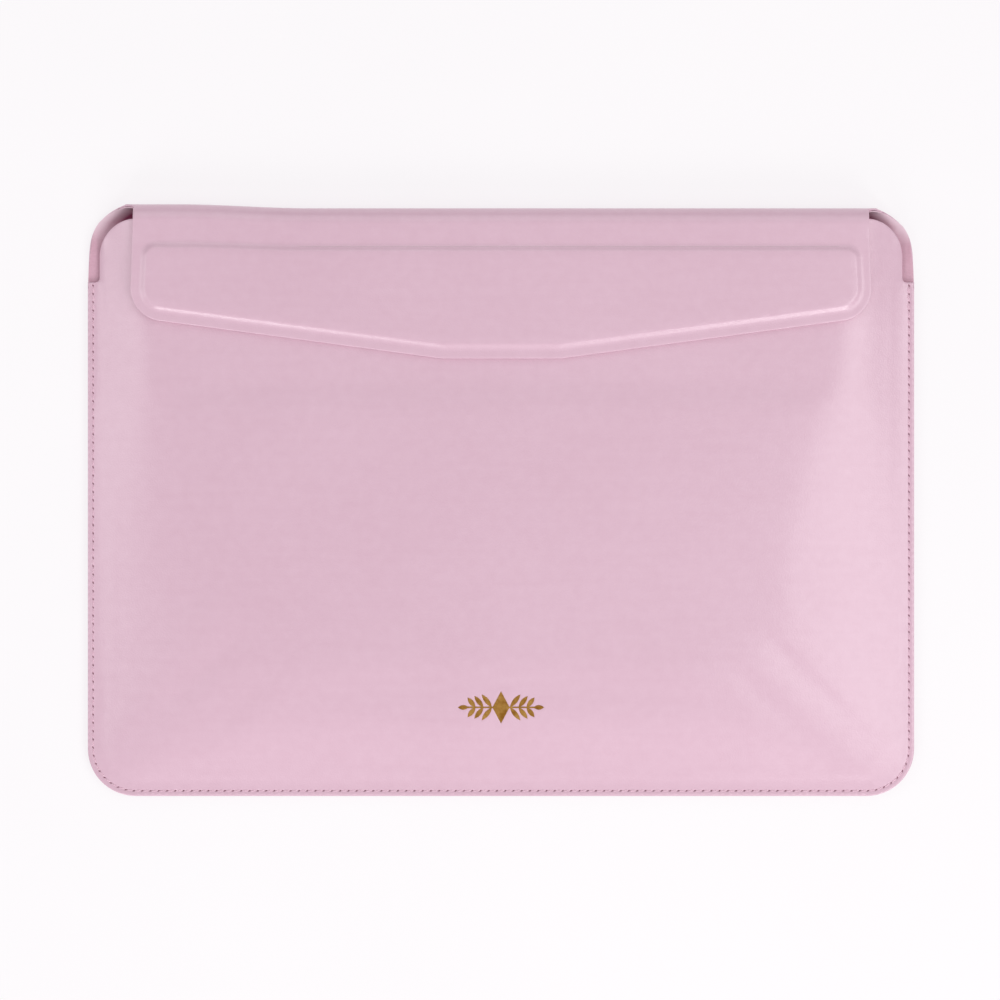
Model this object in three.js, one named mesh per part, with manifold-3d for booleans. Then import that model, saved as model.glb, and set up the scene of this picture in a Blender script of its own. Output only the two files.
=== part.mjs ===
// A slim laptop sleeve in leathercloth, lying on its back with its flap closed.
// +X runs to the right along the long side, +Y to the fold at the top, +Z out of the front.
// The origin is the middle of the footprint, on the surface that the sleeve lies on. Units are millimetres.
import * as THREE from "three";
import { mergeVertices } from "three/addons/utils/BufferGeometryUtils.js";
import Module from "manifold-3d";

const wasm = await Module();
wasm.setup();

// ---------- Driving dimensions ----------
const WIDTH = 330;
const LENGTH = 236;
const HALF_WIDTH = WIDTH / 2;
const FOOT_Y = -LENGTH / 2;
const CROWN_Y = LENGTH / 2;
const BOTTOM_CORNER_R = 19;
const TOP_CORNER_R = 22;
// How far the top corners' outline would pass the crown if it didn't end in the fold.
const TOP_CORNER_RISE = 0.6;

// The laminate: outer leather, board, foam and lining, with a glue line between the layers.
const LEATHER = 0.9;
const BOARD = 0.5;
const FOAM = 0.6;
const LINING = 0.4;
const GLUE = 0.1;
const POCKET_GAP = 6.6;
// Cutters and blanks reach this far past what they cut.
const PAST = 1;

// The back's board and foam, inset from the side seams, the foot seam and the fold.
const BACK_CORE = { side: 15.2, foot: 12.6, top: 4.7, radius: 24 };
const LINING_STEP = 2.5;
const LINING_CORNER_R = 9.6;

// The front's pillow rises from the flat seam margin to the level middle. These are the widths
// of its slope at the foot, along the sides near the foot, and along the sides at the mouth.
const MARGIN = 4;
const CROWN_FOOT = 46;
const CROWN_SIDE = 60;
const CROWN_MOUTH = 26;
const CROWN_STEPS = 7;
const CROWN_SPACING = 1.2;
// How much the slope's bottom corners open out on their way from the margin to the level middle.
const CORNER_SPREAD = 40;

// The mouth of the pocket and the free top corners of the front.
const MOUTH_Y = 112;
const MOUTH_HEM = 3.5;
const FREE_HALF_WIDTH = 160.3;
const FREE_CORNER_R = 14.9;
const SEAM_TOP_Y = 87.2;
const NOTCH_R = 1.2;
const EDGE_STRIP_HALF = 140;
// The front's board and foam stop this far inside its free corners.
const CORE_INSET = 1.5;

// The flap: its outline, its raised panel and its border.
const FLAP_REST_GAP = 0.3;
const FLAP_NECK_HALF = 146.5;
const FLAP_HALF = 147;
const FLAP_SHOULDER_Y = 72.9;
const FLAP_TIP_Y = 56.3;
const FLAP_TIP_HALF = 23.4;
const FLAP_CORNER_R = 13;
const FLAP_TIP_R = 14;
const FLAP_BOARD = 1.2;
const PANEL_TOP_Y = 103.8;
const PANEL_INSET = 3.6;
const PANEL_TOP_R = 7;
const BEVEL = 2.7;
const BOARD_PLAY = 0.4;

// Closure, stitching and ornament.
const MAGNET_R = 6;
const KEEPER_R = 7;
const HOLE_CLEARANCE = 0.3;
const MAGNET_SPOTS = [
  [-100, 82],
  [-38, 74.5],
  [38, 74.5],
  [100, 82],
];
const STITCH_INSET = 2.1;
const THREAD_WIDTH = 0.6;
const THREAD_HEIGHT = 0.3;
const GROOVE_WIDTH = 1;
const GROOVE_DEPTH = 0.4;
const SEAM_START = 2;
const FOIL = { y: -82.2, thick: 0.1, gap: 0.3 };
const LOZENGE = { half: 3.4, tall: 6.5 };
const STEM = { half: 14, thick: 0.3 };
// Pairs of leaves along each arm of the stem: where they start and how long they are.
const LEAF_PAIRS = [
  [3.6, 6.6],
  [7, 5.8],
  [10.2, 5],
];
const LEAF = { width: 1.9, lean: 52, tip: 4.2, tipAt: 12.9 };

// The fold bends at three lines, 60 degrees apart; the strips between them stop short of each line.
const CREASE = 60;
const CREASE_GAP = 3.1;

// ---------- Heights worked out from them ----------
const CORE = BOARD + FOAM + 2 * GLUE;
const SKIN = LINING + GLUE;
const BACK_CORE_Z = LEATHER + GLUE;
const BACK_FOAM_Z = BACK_CORE_Z + BOARD + GLUE;
const BACK_LINING_Z = BACK_CORE_Z + CORE;
const POCKET_FLOOR_Z = BACK_LINING_Z + LINING;
const FRONT_MARGIN_Z = BACK_CORE_Z + SKIN;
const FRONT_LINING_Z = POCKET_FLOOR_Z + POCKET_GAP;
const FRONT_RISE = FRONT_LINING_Z - FRONT_MARGIN_Z;
const FRONT_BOARD_Z = FRONT_LINING_Z + SKIN + FOAM + GLUE;
const FRONT_TOP_Z = FRONT_LINING_Z + SKIN + CORE + LEATHER;
const FLAP_LINING_Z = FRONT_TOP_Z + FLAP_REST_GAP;
const FLAP_LEATHER_Z = FLAP_LINING_Z + SKIN;
const PANEL_RISE = FLAP_BOARD + GLUE;

// The fold is a half round that joins the back to the flap.
const FOLD_R = (FLAP_LEATHER_Z + LEATHER) / 2;
const FOLD_Y = CROWN_Y - FOLD_R;
const FOLD_Z = FOLD_R;
const LEATHER_IN_R = FOLD_R - LEATHER;
const LINING_OUT_R = LEATHER_IN_R - GLUE;
const LINING_IN_R = LINING_OUT_R - LINING;

const LEATHER_PINK = { color: 0xdcb8c9, roughness: 0.5, metalness: 0 };
const LINING_PINK = { color: 0xc695ac, roughness: 0.9, metalness: 0 };
const BOARD_GREY = { color: 0x8d8a86, roughness: 0.9, metalness: 0 };
const FOAM_WHITE = { color: 0xe6e3df, roughness: 0.95, metalness: 0 };
const THREAD_ROSE = { color: 0xb0809a, roughness: 0.7, metalness: 0 };
const STEEL = { color: 0xb9bbbe, roughness: 0.35, metalness: 1 };
const NICKEL = { color: 0xc9c6c0, roughness: 0.25, metalness: 1 };
const GOLD = { color: 0xb98a3e, roughness: 0.3, metalness: 1 };

const sleeve = new THREE.Group();
const radians = (degrees) => (degrees * Math.PI) / 180;

// ---------- Solids ----------
// A closed geometry as a solid that can be joined and cut.
function solid(geometry) {
  const bare = new THREE.BufferGeometry();
  const source = geometry.index ? geometry.toNonIndexed() : geometry;
  bare.setAttribute("position", source.getAttribute("position"));
  const merged = mergeVertices(bare, 1e-4);
  return new wasm.Manifold(
    new wasm.Mesh({
      numProp: 3,
      vertProperties: merged.attributes.position.array,
      triVerts: new Uint32Array(merged.index.array),
    }),
  );
}

// Adds a solid to the sleeve as a named mesh with a material of its own.
function add(name, made, look) {
  const mesh = made.getMesh();
  const geometry = new THREE.BufferGeometry();
  geometry.setAttribute("position", new THREE.BufferAttribute(mesh.vertProperties, 3));
  geometry.setIndex(new THREE.BufferAttribute(mesh.triVerts, 1));
  geometry.computeVertexNormals();
  const part = new THREE.Mesh(geometry, new THREE.MeshStandardMaterial(look));
  part.name = name;
  sleeve.add(part);
  return part;
}

// An upright prism of a plan outline, from z0 up by a height.
function prism(outline, z0, height) {
  const shape = new THREE.Shape(outline);
  const geometry = new THREE.ExtrudeGeometry(shape, { depth: height, bevelEnabled: false });
  return solid(geometry.translate(0, 0, z0));
}

// A bar that runs along X with its section drawn in Y and Z.
function barAlongX(section, halfLength) {
  const geometry = new THREE.ExtrudeGeometry(section, {
    depth: 2 * halfLength,
    bevelEnabled: false,
    curveSegments: 6,
  });
  geometry.translate(0, 0, -halfLength);
  const yzToFrame = new THREE.Matrix4().set(0, 0, 1, 0, 1, 0, 0, 0, 0, 1, 0, 0, 0, 0, 0, 1);
  return solid(geometry.applyMatrix4(yzToFrame));
}

function disc(x, y, z0, radius, height) {
  const geometry = new THREE.CylinderGeometry(radius, radius, height, 24);
  geometry.rotateX(Math.PI / 2);
  return solid(geometry.translate(x, y, z0 + height / 2));
}

// The points of a path through corners [x, y, radius]; a radius of 0 keeps the corner sharp.
function rounded(corners, steps = 6) {
  const points = [];
  corners.forEach(([x, y, radius], i) => {
    const corner = new THREE.Vector2(x, y);
    if (!radius) {
      points.push(corner);
      return;
    }
    const before = corners[(i + corners.length - 1) % corners.length];
    const after = corners[(i + 1) % corners.length];
    const back = new THREE.Vector2(before[0], before[1]).sub(corner).normalize();
    const ahead = new THREE.Vector2(after[0], after[1]).sub(corner).normalize();
    const half = Math.acos(back.dot(ahead)) / 2;
    const bisector = back.clone().add(ahead).normalize();
    const centre = corner.clone().addScaledVector(bisector, radius / Math.sin(half));
    const start = corner.clone().addScaledVector(back, radius / Math.tan(half)).sub(centre);
    const side = Math.sign(back.cross(ahead));
    for (let step = 0; step <= steps; step++) {
      const turn = (-side * (Math.PI - 2 * half) * step) / steps;
      points.push(start.clone().rotateAround(new THREE.Vector2(), turn).add(centre));
    }
  });
  return points;
}

// A slab whose top and bottom follow nested rings of points, each ring at its own height.
// Open rings end at a straight edge, and the last ring's inside is level.
function bandedSlab(rings, bottoms, thickness, closed) {
  const count = rings[0].length;
  const position = [];
  const index = [];
  const level = (k, top) => (k * 2 + top) * count;
  rings.forEach((ring, k) => {
    [bottoms[k], bottoms[k] + thickness].forEach((z) => {
      ring.forEach((p) => position.push(p.x, p.y, z));
    });
  });
  const quad = (a, b, c, d) => index.push(a, b, c, a, c, d);
  const spans = closed ? count : count - 1;
  for (let i = 0; i < spans; i++) {
    const j = (i + 1) % count;
    for (let k = 0; k + 1 < rings.length; k++) {
      quad(level(k, 1) + i, level(k, 1) + j, level(k + 1, 1) + j, level(k + 1, 1) + i);
      quad(level(k, 0) + i, level(k + 1, 0) + i, level(k + 1, 0) + j, level(k, 0) + j);
    }
    quad(level(0, 0) + i, level(0, 0) + j, level(0, 1) + j, level(0, 1) + i);
  }
  const last = rings.length - 1;
  if (!closed) {
    const end = count - 1;
    for (let k = 0; k < last; k++) {
      quad(level(k, 0), level(k, 1), level(k + 1, 1), level(k + 1, 0));
      quad(level(k, 0) + end, level(k + 1, 0) + end, level(k + 1, 1) + end, level(k, 1) + end);
    }
    quad(level(last, 0) + end, level(last, 0), level(last, 1), level(last, 1) + end);
  }
  THREE.ShapeUtils.triangulateShape(rings[last], []).forEach(([a, b, c]) => {
    index.push(level(last, 1) + a, level(last, 1) + b, level(last, 1) + c);
    index.push(level(last, 0) + a, level(last, 0) + c, level(last, 0) + b);
  });
  const geometry = new THREE.BufferGeometry();
  geometry.setAttribute("position", new THREE.Float32BufferAttribute(position, 3));
  geometry.setIndex(index);
  return solid(geometry);
}

// ---------- Outlines in plan, all anticlockwise ----------
// The whole footprint, with the back's top corners rounded up to the fold.
function footprint() {
  const topY = CROWN_Y + TOP_CORNER_RISE;
  return rounded([
    [-HALF_WIDTH, FOOT_Y, BOTTOM_CORNER_R],
    [HALF_WIDTH, FOOT_Y, BOTTOM_CORNER_R],
    [HALF_WIDTH, topY, TOP_CORNER_R],
    [-HALF_WIDTH, topY, TOP_CORNER_R],
  ]);
}

// The front's outline: sewn to the footprint below the notches and free above them.
function frontOutline() {
  const side = (s) => [
    [s * HALF_WIDTH, SEAM_TOP_Y, 0],
    [s * FREE_HALF_WIDTH, SEAM_TOP_Y, NOTCH_R],
    [s * FREE_HALF_WIDTH, MOUTH_Y, FREE_CORNER_R],
  ];
  return rounded([
    [-HALF_WIDTH, FOOT_Y, BOTTOM_CORNER_R],
    [HALF_WIDTH, FOOT_Y, BOTTOM_CORNER_R],
    ...side(1),
    ...side(-1).reverse(),
  ]);
}

// A U-shaped line, open at topY, inset from the sides at their foot and top and from the foot.
function openLine(side, foot, mouth, radius, topY) {
  return rounded([
    [mouth - HALF_WIDTH, topY, 0],
    [side - HALF_WIDTH, FOOT_Y + foot, radius],
    [HALF_WIDTH - side, FOOT_Y + foot, radius],
    [HALF_WIDTH - mouth, topY, 0],
  ]);
}

// A closed line of the back's inner layers.
function backLine(side, foot, top, radius) {
  const x = HALF_WIDTH - side;
  return rounded([
    [-x, FOOT_Y + foot, radius],
    [x, FOOT_Y + foot, radius],
    [x, FOLD_Y - top, radius],
    [-x, FOLD_Y - top, radius],
  ]);
}

// A closed line of the flap: inset from its edges, with its top side at topY.
function flapLine(inset, topY, topRadius) {
  const slope = Math.atan2(FLAP_SHOULDER_Y - FLAP_TIP_Y, FLAP_HALF - FLAP_TIP_HALF);
  const shoulderY = FLAP_SHOULDER_Y + inset / Math.cos(slope) - inset * Math.tan(slope);
  const tipHalf = FLAP_TIP_HALF - inset * Math.tan(slope / 2);
  const tipY = FLAP_TIP_Y + inset;
  const cornerR = FLAP_CORNER_R - inset;
  const x = FLAP_HALF - inset;
  const neck = FLAP_NECK_HALF - inset;
  return rounded([
    [-x, shoulderY, cornerR],
    [-tipHalf, tipY, FLAP_TIP_R],
    [tipHalf, tipY, FLAP_TIP_R],
    [x, shoulderY, cornerR],
    [neck, topY, topRadius],
    [-neck, topY, topRadius],
  ]);
}

// A U-shaped band of a given width that runs along the seam.
function seamBand(width) {
  const line = (inset) =>
    openLine(inset, inset, inset, BOTTOM_CORNER_R - inset, SEAM_TOP_Y - SEAM_START);
  const inner = line(STITCH_INSET + width / 2);
  return [...line(STITCH_INSET - width / 2), ...inner.reverse()];
}

// ---------- The fold's sections, in Y and Z ----------
// A ring sector between two angles, where -90 meets the back, 0 is the crown and 90 meets the flap.
function foldSector(inner, outer, from, to) {
  const shape = new THREE.Shape();
  shape.absarc(FOLD_Y, FOLD_Z, outer, radians(from), radians(to), false);
  shape.absarc(FOLD_Y, FOLD_Z, inner, radians(to), radians(from), true);
  return shape;
}

// The back's leather: flat from the foot, then turned up into the fold as far as its first line.
function backSection() {
  const end = radians(-CREASE - CREASE_GAP);
  const shape = new THREE.Shape();
  shape.moveTo(FOOT_Y - PAST, 0);
  shape.lineTo(FOLD_Y, 0);
  shape.absarc(FOLD_Y, FOLD_Z, FOLD_R, radians(-90), end, false);
  shape.absarc(FOLD_Y, FOLD_Z, LEATHER_IN_R, end, radians(-90), true);
  shape.lineTo(FOOT_Y - PAST, LEATHER);
  return shape;
}

// ---------- The back ----------
function makeBack() {
  const plan = prism(footprint(), -PAST, FLAP_LEATHER_Z);
  const groove = prism(seamBand(GROOVE_WIDTH), -PAST, PAST + GROOVE_DEPTH);
  const leather = barAlongX(backSection(), HALF_WIDTH + PAST).intersect(plan);
  add("back_outer_leather", leather.subtract(groove), LEATHER_PINK);

  const { side, foot, top, radius } = BACK_CORE;
  const core = backLine(side, foot, top, radius);
  add("back_board", prism(core, BACK_CORE_Z, BOARD), BOARD_GREY);
  add("back_foam", prism(core, BACK_FOAM_Z, FOAM), FOAM_WHITE);

  // The lining lies on the leather at the seams and steps up onto the foam.
  const up = BOARD_PLAY;
  const down = BOARD_PLAY + LINING_STEP;
  const lines = [
    backLine(0, 0, 0, LINING_CORNER_R),
    backLine(side - down, foot - down, top - down, LINING_CORNER_R),
    backLine(side - up, foot - up, top - up, radius),
  ];
  const heights = [BACK_CORE_Z, BACK_CORE_Z, BACK_LINING_Z];
  const turn = foldSector(LINING_IN_R, LINING_OUT_R, -90, -CREASE - CREASE_GAP);
  const lining = bandedSlab(lines, heights, LINING, true).add(barAlongX(turn, HALF_WIDTH));
  add("back_lining", lining.intersect(plan), LINING_PINK);
}

// ---------- The front ----------
// How much of the pillow's full rise is reached a share t of the way across its slope.
function liftAt(t) {
  return 1 - (1 - t) ** 3 * (1 + 3 * t);
}

// How fast that lift grows with t.
function liftRate(t) {
  return 12 * t * (1 - t) ** 2;
}

// The pillow's lines, from the seam inwards: how far across the slope each one is, and its lift.
function pillowLines() {
  const lines = [{ side: 0, foot: 0, mouth: 0, radius: BOTTOM_CORNER_R, lift: 0 }];
  for (let step = 0; step <= CROWN_STEPS; step++) {
    const t = (step / CROWN_STEPS) ** CROWN_SPACING;
    lines.push({
      side: MARGIN + (CROWN_SIDE - MARGIN) * t,
      foot: MARGIN + (CROWN_FOOT - MARGIN) * t,
      mouth: MARGIN + (CROWN_MOUTH - MARGIN) * t,
      radius: BOTTOM_CORNER_R - MARGIN + CORNER_SPREAD * t,
      lift: liftAt(t),
    });
  }
  return lines;
}

// The first line inside the margin is where the front's board and foam begin.
const CORE_LINE = 2;

// A layer of the front over the pillow's lines, from one of them inwards. The gap that holds the
// board and foam opens below it from the core's line on, if it lies outside them.
function frontLayer(above, thickness, first, outside) {
  const topY = MOUTH_Y + PAST;
  const lines = pillowLines().slice(first);
  const rings = lines.map(({ side, foot, mouth, radius }) =>
    openLine(side, foot, mouth, radius, topY),
  );
  const bottoms = lines.map(({ lift }, k) => {
    const room = outside && k + first >= CORE_LINE ? CORE : 0;
    return FRONT_MARGIN_Z + FRONT_RISE * lift + above + room;
  });
  return bandedSlab(rings, bottoms, thickness, false);
}

// An upright block inside the front's free corners, up to the top edge of the board and foam.
function coreBlock(topY) {
  const x = FREE_HALF_WIDTH - CORE_INSET;
  const radius = FREE_CORNER_R - CORE_INSET;
  const outline = rounded([
    [-x, FOOT_Y, 0],
    [x, FOOT_Y, 0],
    [x, topY, radius],
    [-x, topY, radius],
  ]);
  return prism(outline, 0, FRONT_TOP_Z + PAST);
}

// An upright block over the front between two heights up the sleeve.
function across(halfWidth, fromY, toY) {
  const outline = rounded([
    [-halfWidth, fromY, 0],
    [halfWidth, fromY, 0],
    [halfWidth, toY, 0],
    [-halfWidth, toY, 0],
  ]);
  return prism(outline, 0, FRONT_TOP_Z + PAST);
}

function makeFront() {
  const plan = prism(frontOutline(), 0, FRONT_TOP_Z + PAST);
  const coreTop = MOUTH_Y - MOUTH_HEM;
  const core = coreBlock(coreTop);
  add("front_lining", frontLayer(0, LINING, 0, false).intersect(plan), LINING_PINK);
  const foam = frontLayer(SKIN, FOAM, CORE_LINE, false);
  add("front_foam", foam.intersect(core), FOAM_WHITE);

  let board = frontLayer(SKIN + FOAM + GLUE, BOARD, CORE_LINE, false).intersect(core);
  MAGNET_SPOTS.forEach(([x, y], i) => {
    const radius = KEEPER_R + HOLE_CLEARANCE;
    board = board.subtract(disc(x, y, FRONT_BOARD_Z - PAST, radius, BOARD + 2 * PAST));
    add("keeper_plate_" + (i + 1), disc(x, y, FRONT_BOARD_Z, KEEPER_R, BOARD), STEEL);
  });
  add("front_board", board, BOARD_GREY);

  const grooveZ = FRONT_MARGIN_Z + SKIN + LEATHER - GROOVE_DEPTH;
  const groove = prism(seamBand(GROOVE_WIDTH), grooveZ, GROOVE_DEPTH + PAST);
  const leather = frontLayer(SKIN, LEATHER, 0, true).intersect(plan);
  add("front_outer_leather", leather.subtract(groove), LEATHER_PINK);

  // The strip that stiffens the mouth, between the leather and the lining above the core.
  const strip = frontLayer(SKIN, CORE - GLUE, CORE_LINE + 2, false);
  const hem = across(EDGE_STRIP_HALF, coreTop + BOARD_PLAY, MOUTH_Y - BOARD_PLAY);
  add("mouth_edge_strip", strip.intersect(hem), LEATHER_PINK);
}

// ---------- The fold ----------
function makeFold() {
  const plan = prism(footprint(), -PAST, FLAP_LEATHER_Z);
  const layers = [
    ["leather", LEATHER_IN_R, FOLD_R, LEATHER_PINK],
    ["lining", LINING_IN_R, LINING_OUT_R, LINING_PINK],
  ];
  layers.forEach(([layer, inner, outer, look]) => {
    const lower = foldSector(inner, outer, -CREASE + CREASE_GAP, -CREASE_GAP);
    const upper = foldSector(inner, outer, CREASE_GAP, CREASE - CREASE_GAP);
    add("fold_lower_" + layer, barAlongX(lower, HALF_WIDTH).intersect(plan), look);
    add("fold_upper_" + layer, barAlongX(upper, FLAP_NECK_HALF), look);
  });
}

// ---------- The flap ----------
function makeFlap() {
  // The leather lies flat round the border and steps up over the board.
  const seat = PANEL_INSET + BEVEL;
  const squareCorner = 0.2;
  const rings = [
    flapLine(0, FOLD_Y, squareCorner),
    flapLine(PANEL_INSET, PANEL_TOP_Y, PANEL_TOP_R),
    flapLine(seat, PANEL_TOP_Y - BEVEL, PANEL_TOP_R - PAST),
  ];
  const heights = [FLAP_LEATHER_Z, FLAP_LEATHER_Z, FLAP_LEATHER_Z + PANEL_RISE];
  const turn = foldSector(LEATHER_IN_R, FOLD_R, CREASE + CREASE_GAP, 90);
  const leather = bandedSlab(rings, heights, LEATHER, true).add(barAlongX(turn, FLAP_NECK_HALF));
  add("flap_outer_leather", leather, LEATHER_PINK);

  const boardTop = PANEL_TOP_Y - BEVEL - BOARD_PLAY;
  const boardLine = flapLine(seat + BOARD_PLAY, boardTop, PANEL_TOP_R - PAST);
  let board = prism(boardLine, FLAP_LEATHER_Z, FLAP_BOARD);
  MAGNET_SPOTS.forEach(([x, y], i) => {
    const radius = MAGNET_R + HOLE_CLEARANCE;
    board = board.subtract(disc(x, y, FLAP_LEATHER_Z - PAST, radius, FLAP_BOARD + 2 * PAST));
    add("flap_magnet_" + (i + 1), disc(x, y, FLAP_LEATHER_Z, MAGNET_R, FLAP_BOARD), NICKEL);
  });
  add("flap_board", board, BOARD_GREY);

  const liningTurn = foldSector(LINING_IN_R, LINING_OUT_R, CREASE + CREASE_GAP, 90);
  const lining = prism(flapLine(0, FOLD_Y, 0), FLAP_LINING_Z, LINING);
  add("flap_lining", lining.add(barAlongX(liningTurn, FLAP_NECK_HALF)), LINING_PINK);
}

// ---------- Stitching ----------
// Each thread lies in the middle of its groove, the needle's above and the bobbin's below.
function makeStitching() {
  const band = seamBand(THREAD_WIDTH);
  const rest = (GROOVE_DEPTH - THREAD_HEIGHT) / 2;
  const needleZ = FRONT_MARGIN_Z + SKIN + LEATHER - GROOVE_DEPTH + rest;
  add("seam_needle_thread", prism(band, needleZ, THREAD_HEIGHT), THREAD_ROSE);
  add("seam_bobbin_thread", prism(band, rest, THREAD_HEIGHT), THREAD_ROSE);
}

// ---------- The foil ornament ----------
// The foil lies on the pillow's slope at its foot, level across and tilted up towards the flap.
const FOIL_SLOPE_WIDTH = CROWN_FOOT - MARGIN;
const FOIL_T = (FOIL.y - FOOT_Y - MARGIN) / FOIL_SLOPE_WIDTH;
const FOIL_Z = FRONT_TOP_Z - FRONT_RISE * (1 - liftAt(FOIL_T)) + FOIL.gap;
const FOIL_TILT = Math.atan((FRONT_RISE * liftRate(FOIL_T)) / FOIL_SLOPE_WIDTH);

// A pointed leaf that grows from the stem at x, turned by an angle.
function leaf(x, length, angle) {
  const shape = new THREE.Shape();
  shape.moveTo(0, 0);
  shape.quadraticCurveTo(length / 2, LEAF.width, length, 0);
  shape.quadraticCurveTo(length / 2, -LEAF.width, 0, 0);
  const geometry = new THREE.ExtrudeGeometry(shape, {
    depth: FOIL.thick,
    bevelEnabled: false,
    curveSegments: 6,
  });
  geometry.rotateZ(radians(angle));
  return solid(geometry.translate(x, 0, 0));
}

// A lozenge on a stem, with pairs of leaves along both of its arms.
function makeOrnament() {
  const stem = rounded([
    [-STEM.half, -STEM.thick, 0],
    [STEM.half, -STEM.thick, 0],
    [STEM.half, STEM.thick, 0],
    [-STEM.half, STEM.thick, 0],
  ]);
  const lozenge = rounded([
    [0, -LOZENGE.tall, 0],
    [LOZENGE.half, 0, 0],
    [0, LOZENGE.tall, 0],
    [-LOZENGE.half, 0, 0],
  ]);
  let foil = prism(stem, 0, FOIL.thick).add(prism(lozenge, 0, FOIL.thick));
  [-1, 1].forEach((side) => {
    const turned = (angle) => (side > 0 ? angle : 180 - angle);
    LEAF_PAIRS.forEach(([x, length]) => {
      foil = foil.add(leaf(side * x, length, turned(LEAF.lean)));
      foil = foil.add(leaf(side * x, length, turned(-LEAF.lean)));
    });
    foil = foil.add(leaf(side * LEAF.tipAt, LEAF.tip, turned(0)));
  });
  const emblem = add("foil_ornament", foil, GOLD);
  emblem.position.set(0, FOIL.y, FOIL_Z);
  emblem.rotation.x = FOIL_TILT;
}

makeBack();
makeFront();
makeFold();
makeFlap();
makeStitching();
makeOrnament();

export default sleeve;
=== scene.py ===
"""A slim laptop sleeve in pink leathercloth, lying on its back, seen from straight above.

The leather of the back, the fold and the flap is one sheet. A point of that sheet is given by its
place across, x, and its place along, s: s is 0 where the back ends and the fold begins, and it
grows round the fold and on over the flap. Sizes in this script are millimetres until mesh_from
turns them into metres.
"""
import math

import bmesh
import bpy
import numpy as np
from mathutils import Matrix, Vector
from mathutils.geometry import delaunay_2d_cdt


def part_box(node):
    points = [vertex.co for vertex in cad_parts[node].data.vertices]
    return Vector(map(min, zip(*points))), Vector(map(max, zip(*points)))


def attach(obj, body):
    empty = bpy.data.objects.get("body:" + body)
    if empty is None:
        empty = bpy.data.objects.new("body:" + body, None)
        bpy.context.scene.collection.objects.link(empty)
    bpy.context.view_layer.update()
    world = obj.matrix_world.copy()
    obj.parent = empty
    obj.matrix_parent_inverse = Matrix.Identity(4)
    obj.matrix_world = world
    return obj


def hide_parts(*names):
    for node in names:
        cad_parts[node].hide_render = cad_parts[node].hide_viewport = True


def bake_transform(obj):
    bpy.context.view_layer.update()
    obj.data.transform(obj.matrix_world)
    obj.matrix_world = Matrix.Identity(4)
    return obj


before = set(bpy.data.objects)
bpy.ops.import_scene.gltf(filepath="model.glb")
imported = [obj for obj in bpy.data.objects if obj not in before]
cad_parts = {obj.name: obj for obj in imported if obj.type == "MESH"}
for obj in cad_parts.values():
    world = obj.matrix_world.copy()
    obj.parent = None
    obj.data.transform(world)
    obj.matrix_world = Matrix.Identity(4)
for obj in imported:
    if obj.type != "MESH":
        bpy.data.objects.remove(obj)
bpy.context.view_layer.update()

MM = 0.001


def box(node):
    """A node's lowest and highest corners in millimetres."""
    low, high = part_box(node)
    return np.array(low) / MM, np.array(high) / MM


# ---------- Sizes, from the frame and from the laminate ----------
BACK_LOW, BACK_HIGH = box("back_outer_leather")
FRONT_HIGH = box("front_outer_leather")[1]
FLAP_LOW, FLAP_HIGH = box("flap_outer_leather")
HALF_W = BACK_HIGH[0]
FOOT_Y = BACK_LOW[1]
CROWN_Y = -FOOT_Y
FRONT_TOP = FRONT_HIGH[2]
LEATHER = 0.9
LINING = 0.4
GLUE = 0.1
SKIN = LINING + GLUE
CORE = 1.3
MARGIN_Z = LEATHER + GLUE + SKIN
PANEL_RISE = 1.3
FOLD_R = (FLAP_HIGH[2] - PANEL_RISE) / 2
FOLD_Y = CROWN_Y - FOLD_R
MID_R = FOLD_R - LEATHER / 2
FOLD_LENGTH = math.pi * MID_R
LINING_N = LEATHER + GLUE
BOTTOM_R = 19
TOP_R = 20
# The top corners are rounded off a line this far above the crown.
TOP_RISE = 0.6

# The front's free corners and its pillow.
MOUTH_Y = FRONT_HIGH[1]
FREE_HALF = 160.3
FREE_R = 14.9
SEAM_TOP_Y = 87.2
NOTCH_R = 1.6
MARGIN = 4
CROWN_FOOT = 46
CROWN_SIDE = 60
CROWN_MOUTH = 26
CORNER_SPREAD = 40
CORE_START = 0.097
PILLOW_TOP_Y = MOUTH_Y + 1
FRONT_RISE = FRONT_TOP - LEATHER - CORE - SKIN - MARGIN_Z

# The flap.
NECK = 146.1
FLAP_HALF = 147.4
SHOULDER_Y = 72.9
TIP_Y = FLAP_LOW[1]
TIP_HALF = 23.4
FLAP_R = 13
TIP_R = 14
PANEL_IN = 2.3
PANEL_TOP = 103.6
PANEL_R = 7
BEVEL = 3.8

# Cut edges are rounded over this width, with lines of points at these distances from the edge.
EDGE_R = 0.45
EDGE_LINES = (0.07, 0.2, 0.45)
EDGE_DROP = 0.4

STITCH_IN = 2.1
PITCH = 3.3


def smooth(t):
    """0 up to 0, 1 from 1 on, and a smooth step in between."""
    t = np.clip(t, 0, 1)
    return t * t * (3 - 2 * t)


# ---------- Paths in plan ----------
def rounded(corners, step=1.6, closed=True):
    """The points of a path through corners (x, y, radius), with straight runs cut to a step."""
    points = []
    count = len(corners)
    for i, (x, y, radius) in enumerate(corners):
        here = Vector((x, y))
        if radius == 0:
            points.append(here)
            continue
        back = (Vector(corners[i - 1][:2]) - here).normalized()
        ahead = (Vector(corners[(i + 1) % count][:2]) - here).normalized()
        half = back.angle(ahead) / 2
        centre = here + (back + ahead).normalized() * radius / math.sin(half)
        start = here + back * radius / math.tan(half) - centre
        sweep = math.pi - 2 * half
        turn = -sweep if back.cross(ahead) > 0 else sweep
        steps = max(3, math.ceil(sweep * radius / step * 2))
        for k in range(steps + 1):
            a = turn * k / steps
            c, s = math.cos(a), math.sin(a)
            points.append(
                centre + Vector((start.x * c - start.y * s, start.x * s + start.y * c))
            )
    return divided(points, step * 2, closed)


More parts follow.
